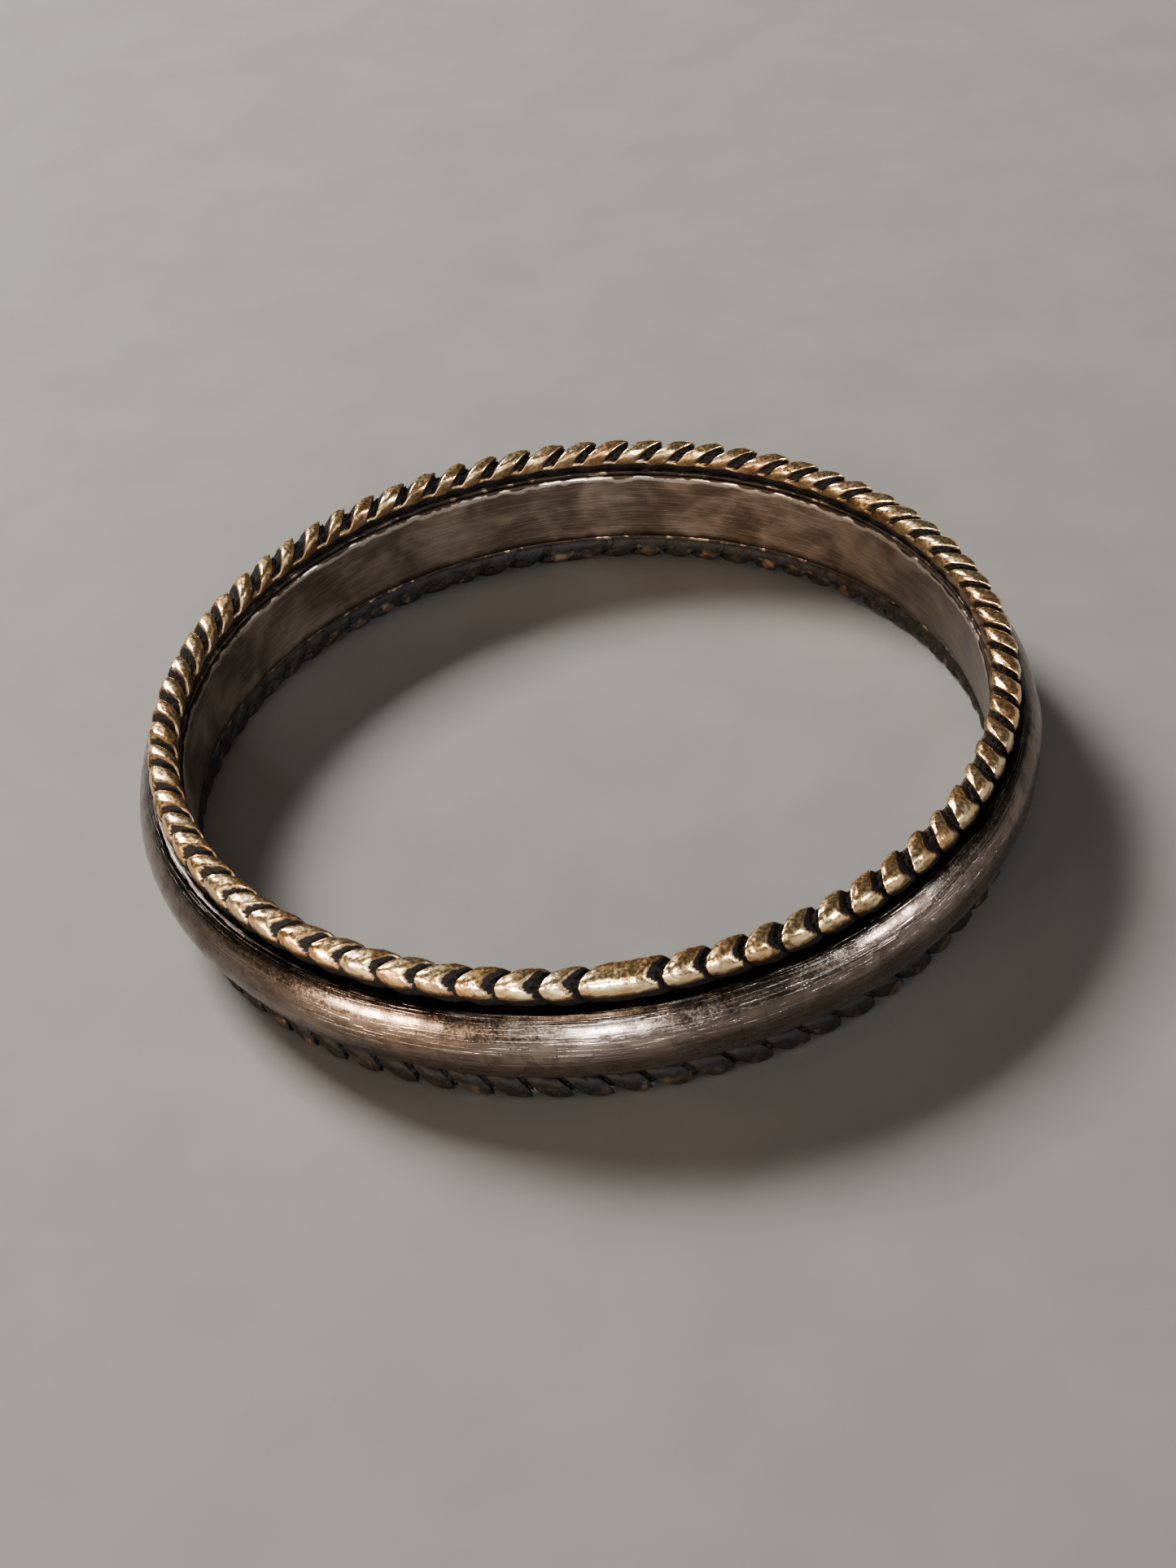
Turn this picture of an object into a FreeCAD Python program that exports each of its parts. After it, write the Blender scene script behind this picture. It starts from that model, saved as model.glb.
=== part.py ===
"""Finger ring: a domed centre band that spins on a plain sleeve, held between two rope rims.

Millimetres, +Z up. The ring lies flat, so the finger axis is +Z. The origin is on that axis, in the
plane that the lower rope rests on. Both ropes are the same wire: the lower one is the upper one
turned over.
"""
import FreeCAD
import Part
import math
import os

# Driving dimensions
BORE_RADIUS = 9.25  # inside of the sleeve, where the finger goes
SLEEVE_WALL = 0.30
SLEEVE_LENGTH = 1.90
SLEEVE_BEVEL = 0.06  # on both bore edges and both outer edges

ROPE_WIDTH = 0.70  # radial size of the rope's section
ROPE_HEIGHT = 0.70  # axial size of the rope's section
ROPE_ROUNDING = 0.22  # corner radius of the section
ROPE_SET_BACK = 0.02  # the rope stands this far outside the bore
LOBE_PITCH = 0.83  # one lobe and one groove, along the rope
GROOVE_WIDTH = 0.22  # at the rope's outer corner
GROOVE_LEAN_OUT = 0.85  # shift along the rope for each millimetre outwards
GROOVE_LEAN_UP = 0.65  # shift along the rope for each millimetre upwards
JOINT_ANGLE = -88.5  # where the upper rope's ends meet, in degrees from +X

SOLDER_GAP = 0.05  # between the sleeve's end and the rope
SOLDER_SET_BACK = 0.06  # the solder stops this far outside the bore

BAND_CLEARANCE = 0.10  # radial, between the sleeve and the band
BAND_END_GAP = 0.08  # axial, between the band and each rope
BAND_EDGE_WALL = 0.33
BAND_CROWN = 0.47  # the dome's height above the band's edges
BAND_BEVEL = 0.05  # on both inner edges

# Sizes that follow
SLEEVE_RADIUS = BORE_RADIUS + SLEEVE_WALL
SLEEVE_BOTTOM = ROPE_HEIGHT + SOLDER_GAP
SLEEVE_TOP = SLEEVE_BOTTOM + SLEEVE_LENGTH
TOTAL_HEIGHT = SLEEVE_TOP + SOLDER_GAP + ROPE_HEIGHT
ROPE_CENTRE_RADIUS = BORE_RADIUS + ROPE_SET_BACK + ROPE_WIDTH / 2
ROPE_CENTRE_HEIGHT = TOTAL_HEIGHT - ROPE_HEIGHT / 2
LOBE_COUNT = round(2 * math.pi * ROPE_CENTRE_RADIUS / LOBE_PITCH)
LOBE_ANGLE = 360 / LOBE_COUNT
ROPE_CORNER_REACH = (ROPE_WIDTH + ROPE_HEIGHT) / (2 * math.sqrt(2)) - ROPE_ROUNDING * (math.sqrt(2) - 1)
BLOCK_LENGTH = 4 * LOBE_PITCH  # longer than the lobe that closes a rope

ORIGIN = FreeCAD.Vector(0, 0, 0)
UP = FreeCAD.Vector(0, 0, 1)
TURN_OVER_AXIS = FreeCAD.Vector(1, 0, 0)


def point(radius, height):
    """A point of a section drawn in the XZ plane."""
    return FreeCAD.Vector(radius, 0, height)


def revolve(wire):
    """The solid that a closed wire in the XZ plane sweeps about the finger axis."""
    return Part.Face(wire).revolve(ORIGIN, UP, 360)


def ring_of(points):
    """A ring whose section is the polygon through these points."""
    return revolve(Part.makePolygon(points + points[:1]))


def make_sleeve():
    """The plain sleeve that sits on the finger, bevelled at its four edges."""
    inner, outer = BORE_RADIUS, SLEEVE_RADIUS
    low, high = SLEEVE_BOTTOM, SLEEVE_TOP
    return ring_of([
        point(inner + SLEEVE_BEVEL, low),
        point(outer - SLEEVE_BEVEL, low),
        point(outer, low + SLEEVE_BEVEL),
        point(outer, high - SLEEVE_BEVEL),
        point(outer - SLEEVE_BEVEL, high),
        point(inner + SLEEVE_BEVEL, high),
        point(inner, high - SLEEVE_BEVEL),
        point(inner, low + SLEEVE_BEVEL),
    ])


def make_band():
    """The domed band: a D section with its flat side towards the sleeve."""
    inner = SLEEVE_RADIUS + BAND_CLEARANCE
    edge = inner + BAND_EDGE_WALL
    low = ROPE_HEIGHT + BAND_END_GAP
    high = TOTAL_HEIGHT - low
    lower_edge = point(edge, low)
    upper_edge = point(edge, high)
    crown = point(edge + BAND_CROWN, TOTAL_HEIGHT / 2)
    dome = Part.Arc(lower_edge, crown, upper_edge).toShape()
    rest = Part.makePolygon([
        upper_edge,
        point(inner + BAND_BEVEL, high),
        point(inner, high - BAND_BEVEL),
        point(inner, low + BAND_BEVEL),
        point(inner + BAND_BEVEL, low),
        lower_edge,
    ])
    return revolve(Part.Wire([dome] + rest.Edges))


def rope_section():
    """The rope's section, a rectangle with rounded corners, as a closed wire."""
    half_width = ROPE_WIDTH / 2
    half_height = ROPE_HEIGHT / 2
    rounding = ROPE_ROUNDING
    edges = []
    ends = []
    for quarter in range(4):
        start = math.radians(90 * quarter)
        across = 1 if quarter in (0, 3) else -1
        along = 1 if quarter in (0, 1) else -1
        centre = point(
            ROPE_CENTRE_RADIUS + across * (half_width - rounding),
            ROPE_CENTRE_HEIGHT + along * (half_height - rounding),
        )
        arc_points = [
            centre + point(rounding * math.cos(start + turn), rounding * math.sin(start + turn))
            for turn in (0, math.pi / 4, math.pi / 2)
        ]
        edges.append(Part.Arc(*arc_points).toShape())
        ends.append((arc_points[0], arc_points[2]))
    for quarter in range(4):
        edges.append(Part.makeLine(ends[quarter][1], ends[(quarter + 1) % 4][0]))
    return Part.Wire(Part.__sortEdges__(edges))


def groove_point(outwards, inwards_up, along):
    """A point near the rope's section at angle 0, on a groove's leaning plane.

    outwards runs from the section's centre to its upper outer corner, inwards_up at right angles to
    that towards the upper inner corner, and along is the distance from the plane, along the rope.
    """
    radial = (outwards - inwards_up) / math.sqrt(2)
    axial = (outwards + inwards_up) / math.sqrt(2)
    lean = -GROOVE_LEAN_OUT * radial - GROOVE_LEAN_UP * axial
    return FreeCAD.Vector(ROPE_CENTRE_RADIUS + radial, along + lean, ROPE_CENTRE_HEIGHT + axial)


def prism(near_points, far_points):
    """The straight prism between two matching outlines."""
    face = Part.Face(Part.makePolygon(near_points + near_points[:1]))
    return face.extrude(far_points[0] - near_points[0])


def turned(shape, angle):
    """A copy of the shape turned about the finger axis by an angle in degrees."""
    copy = shape.copy()
    copy.rotate(ORIGIN, UP, angle)
    return copy


def groove_cutter():
    """A wedge with its sharp edge on the rope's middle line and its mouth at the outer corner."""
    reach = ROPE_WIDTH + ROPE_HEIGHT
    mouth = GROOVE_WIDTH / 2 * reach / ROPE_CORNER_REACH
    outlines = []
    for side in (-reach, reach):
        outlines.append([
            groove_point(0, side, 0),
            groove_point(reach, side, mouth),
            groove_point(reach, side, -mouth),
        ])
    return prism(*outlines)


def leaning_block(length):
    """A block with one side on a groove's plane, reaching this far along the rope from it."""
    reach = ROPE_WIDTH + ROPE_HEIGHT
    outlines = []
    for side in (-reach, reach):
        outlines.append([
            groove_point(-reach, side, 0),
            groove_point(reach, side, 0),
            groove_point(reach, side, length),
            groove_point(-reach, side, length),
        ])
    return prism(*outlines)


def make_upper_rope():
    """The upper rope and the double lobe that closes it, as two solids."""
    cutter = groove_cutter()
    cutters = [
        turned(cutter, JOINT_ANGLE + step * LOBE_ANGLE)
        for step in range(1, LOBE_COUNT)
    ]
    grooved = revolve(rope_section()).cut(cutters)
    joint_start = turned(leaning_block(BLOCK_LENGTH), JOINT_ANGLE - LOBE_ANGLE)
    joint_end = turned(leaning_block(-BLOCK_LENGTH), JOINT_ANGLE + LOBE_ANGLE)
    joint_space = joint_start.common(joint_end)
    return grooved.cut(joint_space).Solids[0], grooved.common(joint_space).Solids[0]


def make_upper_solder():
    """The fillet of solder between the sleeve's upper end and the rope's rounded corner.

    Its slanted side touches the corner halfway round.
    """
    inner = BORE_RADIUS + SOLDER_SET_BACK
    outer = SLEEVE_RADIUS - SLEEVE_BEVEL
    under_rope = SLEEVE_TOP + SOLDER_GAP
    corner_start = BORE_RADIUS + ROPE_SET_BACK + ROPE_ROUNDING
    slant_start = corner_start - ROPE_ROUNDING * math.tan(math.pi / 8)
    return ring_of([
        point(inner, SLEEVE_TOP),
        point(outer, SLEEVE_TOP),
        point(outer, under_rope),
        point(slant_start, under_rope),
        point(inner, under_rope + slant_start - inner),
    ])


def turned_over(shape):
    """The same piece at the other end of the ring."""
    copy = shape.copy()
    copy.rotate(FreeCAD.Vector(0, 0, TOTAL_HEIGHT / 2), TURN_OVER_AXIS, 180)
    return copy


def main():
    rope, rope_joint = make_upper_rope()
    solder = make_upper_solder()
    nodes = {
        "inner_sleeve": make_sleeve(),
        "centre_band": make_band(),
        "upper_rope": rope,
        "upper_rope_joint": rope_joint,
        "upper_solder_seam": solder,
        "lower_rope": turned_over(rope),
        "lower_rope_joint": turned_over(rope_joint),
        "lower_solder_seam": turned_over(solder),
    }
    os.makedirs("parts", exist_ok=True)
    for name, shape in nodes.items():
        shape.exportStep("parts/" + name + ".step")
        box = shape.BoundBox
        print(name, "valid", shape.isValid(), "solids", len(shape.Solids),
              "volume", round(shape.Volume, 4),
              "height", round(box.ZMin, 3), round(box.ZMax, 3), "width", round(box.XLength, 3))
    print("lobes", LOBE_COUNT, "total height", TOTAL_HEIGHT)


main()
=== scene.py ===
"""Looks for the spinner ring: worn gold rope rims, an oxidised silver band and a plain silver sleeve.

Metres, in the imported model's frame. Every piece is a fine mesh that replaces its CAD node and keeps
that node's size. Lengths written with MM are millimetres.
"""
import math

import bpy
import numpy as np
from mathutils import Matrix, Vector


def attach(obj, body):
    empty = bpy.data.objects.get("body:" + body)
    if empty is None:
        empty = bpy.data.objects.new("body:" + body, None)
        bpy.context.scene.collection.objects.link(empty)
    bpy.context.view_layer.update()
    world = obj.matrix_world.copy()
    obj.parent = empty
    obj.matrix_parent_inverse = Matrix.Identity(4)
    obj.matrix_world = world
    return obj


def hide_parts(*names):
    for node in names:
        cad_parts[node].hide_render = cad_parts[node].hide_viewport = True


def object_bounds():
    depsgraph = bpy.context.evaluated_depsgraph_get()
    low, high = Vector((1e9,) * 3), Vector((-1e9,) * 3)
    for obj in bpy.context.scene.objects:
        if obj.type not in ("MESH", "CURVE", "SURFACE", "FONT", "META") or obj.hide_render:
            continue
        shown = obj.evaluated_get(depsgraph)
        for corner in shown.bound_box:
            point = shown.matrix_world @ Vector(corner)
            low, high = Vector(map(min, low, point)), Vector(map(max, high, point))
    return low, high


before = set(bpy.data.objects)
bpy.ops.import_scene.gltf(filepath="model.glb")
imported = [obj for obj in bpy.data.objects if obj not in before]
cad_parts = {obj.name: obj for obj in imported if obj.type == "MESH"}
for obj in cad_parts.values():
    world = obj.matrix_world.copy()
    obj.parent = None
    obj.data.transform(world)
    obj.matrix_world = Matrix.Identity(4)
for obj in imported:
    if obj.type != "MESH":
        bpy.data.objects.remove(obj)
cad_low, cad_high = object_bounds()

MM = 0.001
TURN = 2 * math.pi

# Rope pattern, as the CAD ropes have it
LOBE_COUNT = 73
JOINT_ANGLE = math.radians(-88.5)  # middle of the lobe that closes the upper rope
LEAN_OUT = 0.85  # shift along the rope per length outwards
LEAN_UP = 0.65  # shift along the rope per length upwards

# Mesh fineness
ROWS_PER_LOBE = 25
SECTION_POINTS = 52
RING_STEPS = 1440


# ---------------------------------------------------------------- shapes in numbers

def reach(node):
    """Least and greatest radius about the finger axis, and lowest and highest Z, of a CAD node."""
    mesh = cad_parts[node].data
    co = np.empty(len(mesh.vertices) * 3)
    mesh.vertices.foreach_get("co", co)
    co = co.reshape(-1, 3)
    radius = np.hypot(co[:, 0], co[:, 1])
    return radius.min(), radius.max(), co[:, 2].min(), co[:, 2].max()


def ease(low, high, value):
    """0 below low and 1 above high, with a smooth step between."""
    t = np.clip((value - low) / (high - low), 0, 1)
    return t * t * (3 - 2 * t)


def ripple(points, wavelength, seed):
    """Smooth noise of about unit size at an array of points: waves in random directions, added up."""
    random = np.random.default_rng(seed)
    total = np.zeros(points.shape[:-1])
    waves = 14
    for _ in range(waves):
        direction = random.normal(size=3)
        direction *= TURN / wavelength * random.uniform(0.6, 1.5) / np.linalg.norm(direction)
        total += np.sin(points @ direction + random.uniform(0, TURN))
    return total * math.sqrt(2 / waves)


def ring_points(radius, height, angle):
    """Points at these radii, heights and angles about the finger axis."""
    return np.stack([radius * np.cos(angle), radius * np.sin(angle), height + 0 * angle], -1)


# ---------------------------------------------------------------- meshes

def grid_mesh(name, points, closed, **attributes):
    """A tube through rows of points. A closed one joins its last row to its first.

    An open one is capped at both ends.
    Each attribute has one number per point and is stored on the mesh.
    """
    rows, columns = points.shape[:2]
    index = np.arange(rows * columns).reshape(rows, columns)
    after = np.roll(index, -1, 0) if closed else index[1:]
    before = index if closed else index[:-1]
    quads = np.stack([before, after, np.roll(after, -1, 1), np.roll(before, -1, 1)], -1)
    faces = quads.reshape(-1, 4).tolist()
    if not closed:
        faces += [index[0].tolist(), index[-1][::-1].tolist()]
    mesh = bpy.data.meshes.new(name)
    mesh.from_pydata(points.reshape(-1, 3).tolist(), [], faces)
    for key, values in attributes.items():
        layer = mesh.attributes.new(key, "FLOAT", "POINT")
        layer.data.foreach_set("value", np.ascontiguousarray(values, dtype=np.float32).ravel())
    mesh.shade_smooth()
    piece = bpy.data.objects.new(name, mesh)
    bpy.context.scene.collection.objects.link(piece)
    return piece


def smooth_section(corners, roundings, spacing):
    """Points round a closed section with rounded corners, no further apart than spacing."""
    points = []
    count = len(corners)
    for i in range(count):
        here = np.array(corners[i])
        back = np.array(corners[i - 1]) - here
        ahead = np.array(corners[(i + 1) % count]) - here
        back_length = np.linalg.norm(back)
        ahead_length = np.linalg.norm(ahead)
        cut = min(roundings[i], 0.45 * back_length, 0.45 * ahead_length)
        start = here + back / back_length * cut
        end = here + ahead / ahead_length * cut
        for t in np.linspace(0, 1, 5):
            points.append((1 - t) ** 2 * start + 2 * t * (1 - t) * here + t * t * end)
    dense = []
    for i, here in enumerate(points):
        ahead = points[(i + 1) % len(points)]
        steps = max(1, math.ceil(np.linalg.norm(ahead - here) / spacing))
        dense += [here + (ahead - here) * k / steps for k in range(steps)]
    return np.array(dense)


def swept_ring(name, section, dent, **attributes):
    """A ring with this section of (radius, height) points, pushed along its normals by dent(points)."""
    angle = np.linspace(0, TURN, RING_STEPS, endpoint=False)[:, None]
    ahead = np.roll(section, -1, 0) - np.roll(section, 1, 0)
    normal = np.stack([ahead[:, 1], -ahead[:, 0]], -1)
    normal /= np.linalg.norm(normal, axis=1)[:, None]
    points = ring_points(section[:, 0], section[:, 1], angle)
    amount = dent(points)
    points = ring_points(
        section[:, 0] + normal[:, 0] * amount,
        section[:, 1] + normal[:, 1] * amount,
        angle,
    )
    shaped = {key: np.broadcast_to(values, points.shape[:2]) for key, values in attributes.items()}
    return grid_mesh(name, points, True, **shaped)


# ---------------------------------------------------------------- the rope rims

rope_inner, rope_outer, rope_low, rope_high = reach("upper_rope")
HALF_WIDTH = (rope_outer - rope_inner) / 2
HALF_HEIGHT = (rope_high - rope_low) / 2
ROPE_RADIUS = (rope_outer + rope_inner) / 2
ROPE_HEIGHT = (rope_high + rope_low) / 2
CORNER_REACH = 0.41 * MM  # from the rope's middle to the flat across a corner
CORNER_SOFTNESS = 6  # a lower number gives a rounder section
RING_HEIGHT = cad_high.z

# Groove widths, as shares of a lobe
STEEP_START, STEEP_END = 0.06, 0.14  # the side of a lobe that drops into its groove at once
SLOPE_START, SLOPE_END = 0.10, 0.24  # the worn side
OUTER_GROOVE = 0.55  # a groove's width on the outer side, against its usual one
TOP_GROOVE = 0.65  # how much wider it gets over the top
GROOVE_DEPTH = 0.50  # share of the way from the skin to the section's middle
RIDGE_WIDTH = 0.05  # half width of the ridge left in a shallow groove, as a share of a lobe

# How much lobes differ
SHIFT_SPREAD = 0.045
SIZE_SPREAD = 0.015
RIDGE_MOST = 0.45
WIDTH_LEAST, WIDTH_MOST = 0.80, 1.25
LOBE_END_SIZE = 0.92  # a lobe's size at its ends, against the CAD section
LOBE_SWELL = 0.12  # how much larger its middle is

# Heights on the worn skin, in millimetres
SWELL_HEIGHT = 0.005
PIT_HEIGHT = 0.003
GROOVE_PIT_HEIGHT = 0.020  # added to the last one in a groove


def wrap(turn):
    """The same angle between minus and plus half a turn."""
    return (turn + math.pi) % TURN - math.pi


def turn_from_below(turn):
    """The same angle counted from straight down, so that it grows evenly over the top."""
    return (turn + math.pi / 2) % TURN - math.pi / 2


def section_reach(angle):
    """Distance from the rope's middle to its skin: an octagon with softened corners."""
    total = 0
    for facet in range(8):
        distance = (HALF_WIDTH, CORNER_REACH, HALF_HEIGHT, CORNER_REACH)[facet % 4]
        facing = np.maximum(np.cos(angle - facet * TURN / 8), 0)
        total = total + (facing / distance) ** CORNER_SOFTNESS
    return total ** (-1 / CORNER_SOFTNESS)


def groove_share(turn):
    """Width of a groove round the section: full over the top, a thin line down the outer side."""
    from_below = np.degrees(turn_from_below(turn))
    return OUTER_GROOVE + TOP_GROOVE * ease(0, 60, from_below) * (1 - ease(165, 205, from_below))


def open_share(turn):
    """How deep grooves are round the section: full on the outer side and top, none underneath."""
    rise = ease(-90, -35, np.degrees(wrap(turn)))
    fall = 1 - ease(150, 215, np.degrees(turn_from_below(turn)))
    return rise * fall


def lobe_variation(random, first, last, along):
    """Each place's shift along the rope, ridge in the groove, size of the section and groove width."""
    posts = np.arange(math.floor(first), math.ceil(last) + 1)
    shift = random.normal(0, SHIFT_SPREAD, len(posts))
    shift[[0, -1]] = 0
    ridge = random.uniform(0.0, RIDGE_MOST, len(posts))
    size = random.normal(1.0, SIZE_SPREAD, len(posts))
    width = random.uniform(WIDTH_LEAST, WIDTH_MOST, len(posts))
    return [np.interp(along, posts, values) for values in (shift, ridge, size, width)]


def rope_piece(name, first, last, seed, painted_shade, one_lobe=False):
    """A stretch of rope between two grooves, counted in lobes from the middle of its joint.

    The fifth argument is painted shade: how black the whole stretch is, from 0 to 1.
    """
    random = np.random.default_rng(seed)
    rows = round((last - first) * ROWS_PER_LOBE) + 1
    along = np.linspace(first, last, rows)[:, None]
    turn = np.linspace(0, TURN, SECTION_POINTS, endpoint=False)[None, :]
    shift, ridge, size, width = lobe_variation(random, first, last, along)

    share = groove_share(turn) * width
    after_groove = along - first if one_lobe else along - np.floor(along)
    to_groove = last - along if one_lobe else 1 - after_groove
    steep_side = 1 - ease(STEEP_START * share, STEEP_END * share, after_groove)
    sloping_side = 1 - ease(SLOPE_START * share, SLOPE_END * share, to_groove)
    groove = np.maximum(steep_side, sloping_side)
    nearest = np.minimum(np.abs(after_groove), np.abs(to_groove))

    open_part = open_share(turn)
    middle = np.clip(np.minimum(after_groove, to_groove) * 2, 0, 1)
    crown = LOBE_END_SIZE + LOBE_SWELL * ease(0.1, 1.0, middle)
    reach_here = section_reach(turn) * crown * size
    depth = np.clip(groove - ridge * np.exp(-(nearest / RIDGE_WIDTH) ** 2), 0, 1) * open_part
    cavity = ease(0.05, 0.45, groove) * open_part

    angle = JOINT_ANGLE + (along + shift) * TURN / LOBE_COUNT
    skin_radius = ROPE_RADIUS + reach_here * np.cos(turn)
    skin_height = ROPE_HEIGHT + reach_here * np.sin(turn)
    rough = ring_points(skin_radius, skin_height, angle)
    pits = ripple(rough, 0.16 * MM, seed + 1) + 0.5 * ripple(rough, 0.07 * MM, seed + 2)
    swell = ripple(rough, 0.45 * MM, seed + 3)
    wear = MM * (SWELL_HEIGHT * swell + (PIT_HEIGHT + GROOVE_PIT_HEIGHT * cavity) * pits)
    reach_here = reach_here * (1 - GROOVE_DEPTH * depth) + wear

    out = np.clip(reach_here * np.cos(turn), -HALF_WIDTH, HALF_WIDTH)
    up = np.clip(reach_here * np.sin(turn), -HALF_HEIGHT, HALF_HEIGHT)
    lean = -(LEAN_OUT * out + LEAN_UP * up) / ROPE_RADIUS
    points = ring_points(ROPE_RADIUS + out, ROPE_HEIGHT + up, angle + lean)
    # Blackening: patina in the grooves, painted shade over the whole stretch where asked for, and dirt
    # with painted shade on the side towards the band.
    grime = np.maximum(np.maximum(cavity, painted_shade), ease(-0.20, 0.60, -up / HALF_HEIGHT))
    tarnish = ease(0.70, 1.0, -out / HALF_WIDTH)
    return grid_mesh(name, points, False, grime=grime, tarnish=tarnish)


def turned_over(piece):
    """Moves a piece of the upper rope to the lower one, as the CAD ring does: half a turn about X."""
    centre = Vector((0, 0, RING_HEIGHT / 2))
    move = Matrix.Translation(centre) @ Matrix.Rotation(math.pi, 4, "X") @ Matrix.Translation(-centre)
    piece.data.transform(move)
    return piece


# ---------------------------------------------------------------- band, sleeve and solder

BAND_EDGE_WALL = 0.33 * MM  # as the CAD band has it
BAND_ROUNDING = 0.05 * MM
SLEEVE_INNER_ROUNDING = 0.09 * MM
SLEEVE_OUTER_ROUNDING = 0.06 * MM
BEAD_ROUNDING = 0.03 * MM

# Millimetres. A worn skin lies this far inside its CAD node's on average, and never outside it
BAND_SINK = 0.012
SLEEVE_SINK = 0.004
BEAD_SINK = 0.008
BEAD_LUMP = 0.006  # the most that a lump of solder stands out from there


def skin_lengths(section):
    """Lengths round a ring's skin, for scratches: along the ring, and across it round its section.

    The length along the ring grows from +X both ways, so that it has no jump.
    """
    angle = np.linspace(0, TURN, RING_STEPS, endpoint=False)[:, None]
    steps = np.linalg.norm(section - np.roll(section, -1, 0), axis=1)
    halfway = np.abs(np.cumsum(steps) - steps.sum() / 2)
    return {"around": ROPE_RADIUS * np.abs(wrap(angle)), "across": halfway}


def make_band():
    """The domed band, with the shallow dents and flats of long wear."""
    inner, outer, low, high = reach("centre_band")
    edge = inner + BAND_EDGE_WALL
    half = (high - low) / 2
    rise = outer - edge
    dome_radius = (half ** 2 + rise ** 2) / (2 * rise)
    spread = math.asin(half / dome_radius)
    middle = (low + high) / 2
    dome = [
        (outer - dome_radius + dome_radius * math.cos(t), middle + dome_radius * math.sin(t))
        for t in np.linspace(-spread, spread, 15)
    ]
    section = smooth_section(
        dome + [(inner, high), (inner, low)],
        [BAND_ROUNDING] * (len(dome) + 2),
        spacing=0.055 * MM,
    )

    def dent(points):
        worn = 0.008 * ripple(points, 3.2 * MM, 31) + 0.0025 * ripple(points, 0.7 * MM, 32)
        return MM * np.minimum(worn, BAND_SINK) - BAND_SINK * MM

    level = (section[:, 1] - middle) / half
    return swept_ring("centre_band_worn", section, dent, level=level, **skin_lengths(section))


def make_sleeve():
    """The sleeve, a little out of true along its rims where it was filed and soldered."""
    inner, outer, low, high = reach("inner_sleeve")
    section = smooth_section(
        [(inner, high), (inner, low), (outer, low), (outer, high)],
        [SLEEVE_INNER_ROUNDING] * 2 + [SLEEVE_OUTER_ROUNDING] * 2,
        spacing=0.06 * MM,
    )

    def dent(points):
        worn = 0.004 * ripple(points, 2.4 * MM, 41) + 0.002 * ripple(points, 0.5 * MM, 42)
        return MM * np.minimum(worn, SLEEVE_SINK) - SLEEVE_SINK * MM

    level = (section[:, 1] - (low + high) / 2) / ((high - low) / 2)
    return swept_ring("inner_sleeve_worn", section, dent, level=level, **skin_lengths(section))


def make_solder(name, node, seed):
    """A lumpy bead of solder between the sleeve's end and a rope."""
    inner, outer, low, high = reach(node)
    upper = node.startswith("upper")
    base, crest = (low, high) if upper else (high, low)
    tall = base + (crest - base) * 0.75
    thin = base + (crest - base) * 0.35
    corners = [(inner, base), (outer, base), (outer, thin), (inner, tall)]
    if not upper:
        corners = corners[::-1]
    section = smooth_section(corners, [BEAD_ROUNDING] * 4, spacing=0.04 * MM)

    def dent(points):
        lumps = 0.014 * ripple(points, 0.8 * MM, seed) + 0.006 * ripple(points, 0.25 * MM, seed + 1)
        return MM * np.minimum(lumps, BEAD_LUMP) - BEAD_SINK * MM

    return swept_ring(name, section, dent)


# ---------------------------------------------------------------- materials

class Paint:
    """A material with a Principled shader, and short ways to add and link nodes."""

    def __init__(self, name):
        self.material = bpy.data.materials.new(name)
        self.material.use_nodes = True
        self.tree = self.material.node_tree
        self.shader = self.tree.nodes["Principled BSDF"]
        self.place = self.add("ShaderNodeTexCoord").outputs["Object"]

    def add(self, kind, **settings):
        node = self.tree.nodes.new(kind)
        for key, value in settings.items():
            setattr(node, key, value)
        return node

    def feed(self, socket, value):
        """Links an output to a socket, or sets the socket to a plain value."""
        if isinstance(value, bpy.types.NodeSocket):
            self.tree.links.new(value, socket)
        else:
            socket.default_value = value

    def stored(self, name):
        """A number stored on the mesh."""
        return self.add("ShaderNodeAttribute", attribute_name=name).outputs["Fac"]

    def math(self, operation, a, b=0.0, c=0.0):
        node = self.add("ShaderNodeMath", operation=operation)
        for socket, value in zip(node.inputs, (a, b, c)):
            self.feed(socket, value)
        return node.outputs[0]

    def noise(self, size, detail=3.0, warp=0.0):
        """Noise whose spots are about this many metres across."""
        mapping = self.add("ShaderNodeMapping")
        self.feed(mapping.inputs["Vector"], self.place)
        mapping.inputs["Scale"].default_value = [1 / size] * 3
        node = self.add("ShaderNodeTexNoise")
        self.feed(node.inputs["Vector"], mapping.outputs[0])
        node.inputs["Scale"].default_value = 1.0
        node.inputs["Detail"].default_value = detail
        node.inputs["Distortion"].default_value = warp
        return node.outputs["Fac"]

    def range(self, value, low, high, to_low=0.0, to_high=1.0):
        """The value mapped from one range to another with a smooth step."""
        node = self.add("ShaderNodeMapRange", interpolation_type="SMOOTHSTEP")
        for socket, number in zip(node.inputs, (value, low, high, to_low, to_high)):
            self.feed(socket, number)
        return node.outputs[0]

    def mix(self, share, a, b):
        """Colour a, turning into colour b as share goes from 0 to 1."""
        node = self.add("ShaderNodeMix", data_type="RGBA")
        self.feed(node.inputs["Factor"], share)
        colours = [socket for socket in node.inputs if socket.type == "RGBA"]
        for socket, value in zip(colours, (a, b)):
            self.feed(socket, value)
        return [socket for socket in node.outputs if socket.type == "RGBA"][0]

    def bump(self, height, distance, strength=1.0, under=None):
        node = self.add("ShaderNodeBump")
        node.inputs["Strength"].default_value = strength
        node.inputs["Distance"].default_value = distance
        self.feed(node.inputs["Height"], height)
        if under is not None:
            self.feed(node.inputs["Normal"], under)
        return node.outputs[0]

    def set(self, **inputs):
        for name, value in inputs.items():
            self.feed(self.shader.inputs[name.replace("_", " ")], value)
        return self.material


def rgb(red, green, blue):
    return (red, green, blue, 1.0)


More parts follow.
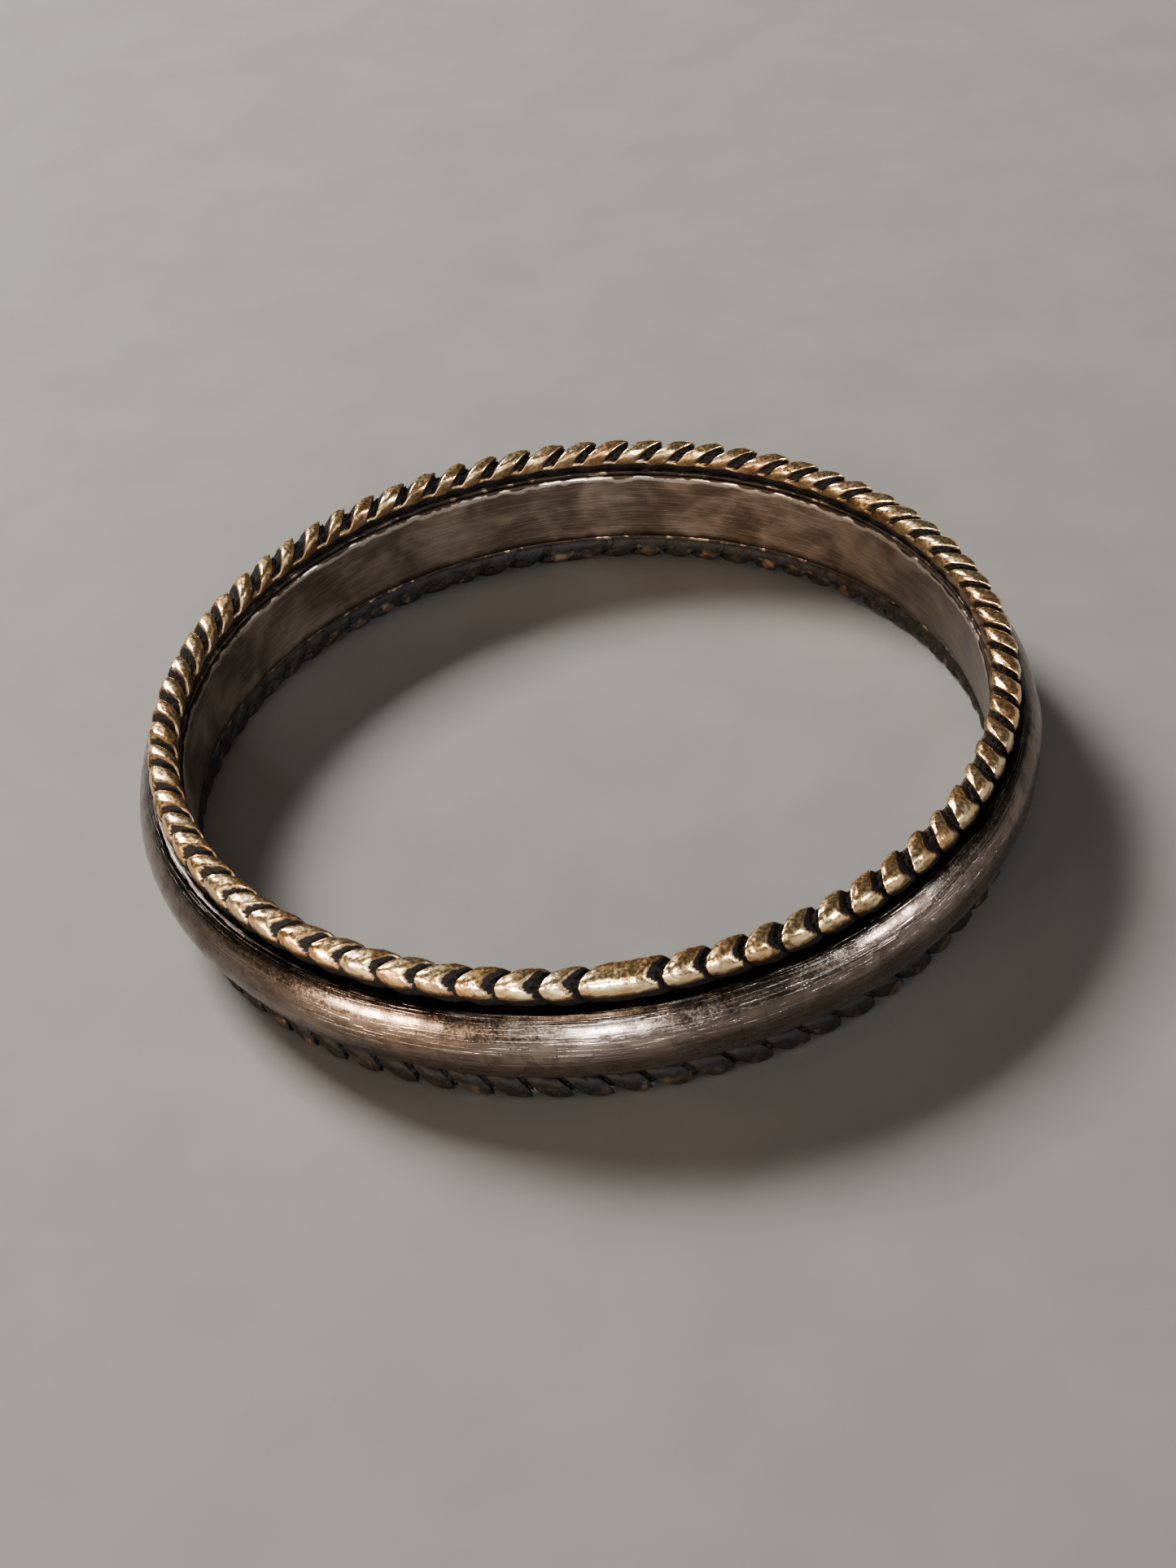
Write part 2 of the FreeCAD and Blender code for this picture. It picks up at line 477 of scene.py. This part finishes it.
WARM_GOLD = rgb(0.90, 0.53, 0.22)
PALE_GOLD = rgb(0.97, 0.72, 0.38)
DARK_BROWN_GOLD = rgb(0.10, 0.058, 0.028)
BROWN_GOLD = rgb(0.19, 0.125, 0.065)
BLACK_GRIME_AND_SHADE = rgb(0.003, 0.002, 0.0015)
BROWN_GRIME_AND_SHADE = rgb(0.014, 0.008, 0.005)
DARK_BAND = rgb(0.135, 0.098, 0.078)
PALE_BAND = rgb(0.225, 0.172, 0.140)
BAND_SPOTS = rgb(0.075, 0.055, 0.045)
BAND_EDGE_DIRT_AND_SHADE = rgb(0.018, 0.012, 0.009)
BAND_SCRATCH = rgb(0.42, 0.37, 0.33)
DARK_SLEEVE = rgb(0.075, 0.052, 0.038)
PALE_SLEEVE = rgb(0.125, 0.094, 0.072)
SLEEVE_SCRATCH = rgb(0.30, 0.25, 0.21)
SLEEVE_LOW_END_SHADE = rgb(0.03, 0.02, 0.014)
SLEEVE_RIM = rgb(0.42, 0.36, 0.30)
SLEEVE_CREVICE_DIRT_AND_SHADE = rgb(0.015, 0.01, 0.007)
BLACK_SOLDER = rgb(0.018, 0.013, 0.009)
BARE_SOLDER = rgb(0.34, 0.25, 0.16)
DARK_FLOOR = rgb(0.27, 0.26, 0.245)
PALE_FLOOR = rgb(0.30, 0.29, 0.275)
ROOM = rgb(0.20, 0.19, 0.18)


# Sets of parallel scratches: turn in radians, then length and width in millimetres
SCRATCH_SETS = (
    (0.25, 2.2, 0.022),
    (1.1, 1.0, 0.018),
    (2.0, 0.8, 0.018),
    (2.75, 1.6, 0.025),
)


def scratches(paint):
    """Fine hair scratches over a ring's skin, from 0 to 1 where one runs."""
    skin = paint.add("ShaderNodeCombineXYZ")
    paint.feed(skin.inputs["X"], paint.stored("around"))
    paint.feed(skin.inputs["Y"], paint.stored("across"))
    total = None
    for turn, length, width in SCRATCH_SETS:
        mapping = paint.add("ShaderNodeMapping")
        paint.feed(mapping.inputs["Vector"], skin.outputs[0])
        mapping.inputs["Rotation"].default_value = (0, 0, turn)
        mapping.inputs["Scale"].default_value = (1 / (length * MM), 1 / (width * MM), 1)
        mapping.inputs["Location"].default_value = (7 * turn, 0, 5 * turn)
        node = paint.add("ShaderNodeTexNoise")
        paint.feed(node.inputs["Vector"], mapping.outputs[0])
        node.inputs["Scale"].default_value = 1.0
        node.inputs["Detail"].default_value = 0.0
        lines = paint.range(node.outputs["Fac"], 0.66, 0.78)
        total = lines if total is None else paint.math("MAXIMUM", total, lines)
    return total


def gold_material():
    """Warm gold, bright where the lobes are worn, browned between and black in the grooves; darker
    towards the band with dirt and painted shade, and blackened by painted shade over the whole lower
    rope.
    """
    paint = Paint("worn_gold")
    patches = paint.noise(0.42 * MM, detail=2.5, warp=0.6)
    hue = paint.noise(0.9 * MM, detail=3.0)
    fine = paint.noise(0.07 * MM, detail=4.0)
    grime = paint.stored("grime")
    tarnish = paint.stored("tarnish")
    gold = paint.mix(paint.range(hue, 0.38, 0.62), WARM_GOLD, PALE_GOLD)
    # Browning from the grooves' patina, dirt and painted shade, the inner side's tarnish and random
    # patches.
    browned = paint.math("ADD", paint.math("ADD", grime, paint.math("MULTIPLY", tarnish, 0.45)), patches)
    brown = paint.mix(paint.range(hue, 0.4, 0.6), DARK_BROWN_GOLD, BROWN_GOLD)
    stain_and_shade = paint.range(browned, 0.50, 0.72)
    gold = paint.mix(stain_and_shade, gold, brown)
    uneven = paint.math("MULTIPLY_ADD", patches, 0.6, -0.30)
    # Black where patina fills the grooves and where painted shade is laid on.
    oxide_and_shade = paint.range(paint.math("ADD", grime, uneven), 0.28, 0.55)
    dark = paint.mix(paint.range(fine, 0.4, 0.6), BLACK_GRIME_AND_SHADE, BROWN_GRIME_AND_SHADE)
    colour = paint.mix(oxide_and_shade, gold, dark)
    grain = paint.range(fine, 0.3, 0.7, -0.04, 0.10)
    roughness = paint.math("ADD", paint.range(stain_and_shade, 0, 1, 0.20, 0.38), grain)
    roughness = paint.math("ADD", roughness, paint.math("MULTIPLY", oxide_and_shade, 0.25))
    metallic = paint.range(oxide_and_shade, 0, 1, 1.0, 0.2)
    normal = paint.bump(patches, 0.030 * MM, 0.6)
    normal = paint.bump(fine, 0.003 * MM, 0.4, normal)
    shine = paint.range(oxide_and_shade, 0, 1, 0.5, 0.12)
    return paint.set(
        Base_Color=colour,
        Metallic=metallic,
        Roughness=roughness,
        Specular_IOR_Level=shine,
        Normal=normal,
    )


def band_material():
    """Oxidised silver: dark brown-grey and satin, mottled, darker at both edges with dirt and painted
    shade, and with scratches that show brighter.
    """
    paint = Paint("oxidised_silver")
    broad = paint.noise(2.4 * MM, detail=3.0, warp=0.5)
    mottle = paint.noise(0.40 * MM, detail=5.0, warp=0.8)
    fine = paint.noise(0.06 * MM, detail=3.0)
    lines = scratches(paint)
    colour = paint.mix(paint.range(broad, 0.35, 0.65), DARK_BAND, PALE_BAND)
    colour = paint.mix(paint.range(mottle, 0.42, 0.62, 0.0, 0.7), colour, BAND_SPOTS)
    wobble = paint.range(mottle, 0.3, 0.7, -0.07, 0.07)
    # Darker at both edges, under the ropes: dirt and painted shade.
    edge = paint.math("ADD", paint.math("ABSOLUTE", paint.stored("level")), wobble)
    colour = paint.mix(paint.range(edge, 0.60, 0.96), colour, BAND_EDGE_DIRT_AND_SHADE)
    colour = paint.mix(paint.math("MULTIPLY", lines, 0.25), colour, BAND_SCRATCH)
    worn = paint.range(mottle, 0.35, 0.70, 0.16, 0.27)
    roughness = paint.math("ADD", worn, paint.range(fine, 0.3, 0.7, -0.04, 0.06))
    normal = paint.bump(mottle, 0.004 * MM, 0.5)
    normal = paint.bump(fine, 0.003 * MM, 0.6, normal)
    normal = paint.bump(lines, 0.003 * MM, 0.5, normal)
    return paint.set(Base_Color=colour, Metallic=1.0, Roughness=roughness, Normal=normal)


def sleeve_material():
    """Silver browned by wear, bright along its upper rim, with dirt and painted shade in the crevice at
    its upper end and painted shade at its lower end.
    """
    paint = Paint("browned_silver")
    cloud = paint.noise(1.6 * MM, detail=4.0, warp=0.6)
    grain = paint.noise(0.09 * MM, detail=3.0)
    lines = scratches(paint)
    level = paint.stored("level")
    wobble = paint.range(paint.noise(0.5 * MM, detail=3.0), 0.3, 0.7, -0.05, 0.05)
    level = paint.math("ADD", level, wobble)
    colour = paint.mix(paint.range(cloud, 0.38, 0.62), DARK_SLEEVE, PALE_SLEEVE)
    colour = paint.mix(paint.math("MULTIPLY", lines, 0.2), colour, SLEEVE_SCRATCH)
    # Painted shade towards the lower end.
    colour = paint.mix(paint.range(level, -0.72, -0.95), colour, SLEEVE_LOW_END_SHADE)
    rim = paint.range(level, 0.80, 0.86)
    # Dirt and painted shade in the crevice at the upper end.
    crevice_dirt_and_shade = paint.range(level, 0.90, 0.96)
    colour = paint.mix(rim, colour, SLEEVE_RIM)
    colour = paint.mix(crevice_dirt_and_shade, colour, SLEEVE_CREVICE_DIRT_AND_SHADE)
    polish = paint.range(rim, 0, 1, 0.0, -0.12)
    roughness = paint.math("ADD", paint.range(cloud, 0.3, 0.7, 0.34, 0.46), polish)
    roughness = paint.math("ADD", roughness, paint.math("MULTIPLY", crevice_dirt_and_shade, 0.25))
    normal = paint.bump(grain, 0.004 * MM, 0.6)
    normal = paint.bump(lines, 0.002 * MM, 0.5, normal)
    return paint.set(Base_Color=colour, Metallic=1.0, Roughness=roughness, Normal=normal)


def solder_material():
    """Dull solder, mostly blackened."""
    paint = Paint("solder")
    patches = paint.noise(0.4 * MM, detail=4.0, warp=0.6)
    colour = paint.mix(paint.range(patches, 0.55, 0.68), BLACK_SOLDER, BARE_SOLDER)
    roughness = paint.range(patches, 0.55, 0.68, 0.62, 0.38)
    normal = paint.bump(patches, 0.01 * MM, 0.5)
    return paint.set(Base_Color=colour, Metallic=0.8, Roughness=roughness, Normal=normal)


# ---------------------------------------------------------------- assembly

def place(piece, body, slot, material, *nodes):
    """Gives a piece its material and body, and lets it stand for its CAD nodes."""
    piece.data.materials.append(material)
    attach(piece, body)
    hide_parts(*nodes)


def build_ring():
    gold = gold_material()
    solder = solder_material()
    # The lower rope is blackened all over by painted shade.
    for side, seed, painted_shade in (("upper", 11, 0.0), ("lower", 61, 0.52)):
        rope = rope_piece(side + "_rope_worn", 1, LOBE_COUNT - 1, seed, painted_shade)
        joint = rope_piece(side + "_rope_joint_worn", -1, 1, seed + 20, painted_shade, one_lobe=True)
        if side == "lower":
            turned_over(rope)
            turned_over(joint)
        place(rope, "sleeve", "rope_gold", gold, side + "_rope")
        place(joint, "sleeve", "rope_gold", gold, side + "_rope_joint")
        seam = make_solder(side + "_solder_bead", side + "_solder_seam", seed + 40)
        place(seam, "sleeve", "solder", solder, side + "_solder_seam")
    place(make_band(), "band", "band_silver", band_material(), "centre_band")
    place(make_sleeve(), "sleeve", "sleeve_silver", sleeve_material(), "inner_sleeve")


# ---------------------------------------------------------------- stage, light and camera

def make_floor():
    half_size = 3.0
    mesh = bpy.data.meshes.new("floor")
    corners = [(x * half_size, y * half_size, 0) for x, y in ((-1, -1), (1, -1), (1, 1), (-1, 1))]
    mesh.from_pydata(corners, [], [(0, 1, 2, 3)])
    floor = bpy.data.objects.new("floor", mesh)
    bpy.context.scene.collection.objects.link(floor)
    paint = Paint("pale_floor")
    mottle = paint.noise(3.0 * MM, detail=5.0)
    colour = paint.mix(paint.range(mottle, 0.3, 0.7), DARK_FLOOR, PALE_FLOOR)
    mesh.materials.append(paint.set(Base_Color=colour, Roughness=0.7))


LIGHT_DISTANCE = 0.30


def area_light(name, azimuth, elevation, width, height, power, colour=(1, 1, 1), on_floor=False):
    """A soft panel that faces the ring. Azimuth 0 is in front of it, and grows towards +X.

    Angles are in degrees, width and height in metres and power in watts.
    Only a panel that is on_floor lights matt surfaces too; the others only show as highlights.
    """
    light = bpy.data.lights.new(name, "AREA")
    light.shape = "RECTANGLE"
    light.size = width
    light.size_y = height
    light.energy = power
    light.color = colour
    lamp = bpy.data.objects.new(name, light)
    lamp.visible_diffuse = on_floor
    a, e = math.radians(azimuth), math.radians(elevation)
    direction = Vector((math.sin(a) * math.cos(e), -math.cos(a) * math.cos(e), math.sin(e)))
    lamp.location = direction * LIGHT_DISTANCE
    lamp.rotation_euler = direction.to_track_quat("Z", "Y").to_euler()
    bpy.context.scene.collection.objects.link(lamp)


def make_lights():
    area_light("key_back_left", -142, 40, 0.11, 0.09, 1.6, (1.0, 0.97, 0.93), on_floor=True)
    area_light("front_small", -4, 24, 0.028, 0.007, 2.0)
    area_light("front_high", -10, 58, 0.08, 0.03, 0.55, (1.0, 0.88, 0.68))
    area_light("left_warm", -54, 17, 0.08, 0.022, 2.6, (1.0, 0.76, 0.54))
    area_light("right_small", 66, 27, 0.05, 0.010, 1.2)
    world = bpy.data.worlds.new("room")
    world.use_nodes = True
    background = world.node_tree.nodes["Background"]
    background.inputs["Color"].default_value = ROOM
    background.inputs["Strength"].default_value = 0.28
    bpy.context.scene.world = world


def make_camera():
    """A long lens 62 mm away, 40 degrees above the floor, rolled a few degrees."""
    elevation = math.radians(40.01)
    roll = math.radians(-7.75)
    distance = 62.03 * MM
    aim = Vector((-0.115 * MM, 0.243 * MM, 0))
    back = Vector((0, -math.cos(elevation), math.sin(elevation)))
    right = Vector((1, 0, 0))
    up = right.cross(-back)
    rolled_right = math.cos(roll) * right + math.sin(roll) * up
    rolled_up = -math.sin(roll) * right + math.cos(roll) * up
    data = bpy.data.cameras.new("camera")
    data.sensor_width = 36.0
    data.lens = 60.05
    data.clip_start = 1 * MM
    data.clip_end = 20.0
    camera = bpy.data.objects.new("camera", data)
    turn = Matrix((rolled_right, rolled_up, back)).transposed()
    camera.matrix_world = Matrix.Translation(aim + back * distance) @ turn.to_4x4()
    bpy.context.scene.collection.objects.link(camera)
    bpy.context.scene.camera = camera


build_ring()
make_floor()
make_lights()
make_camera()

bpy.context.view_layer.update()
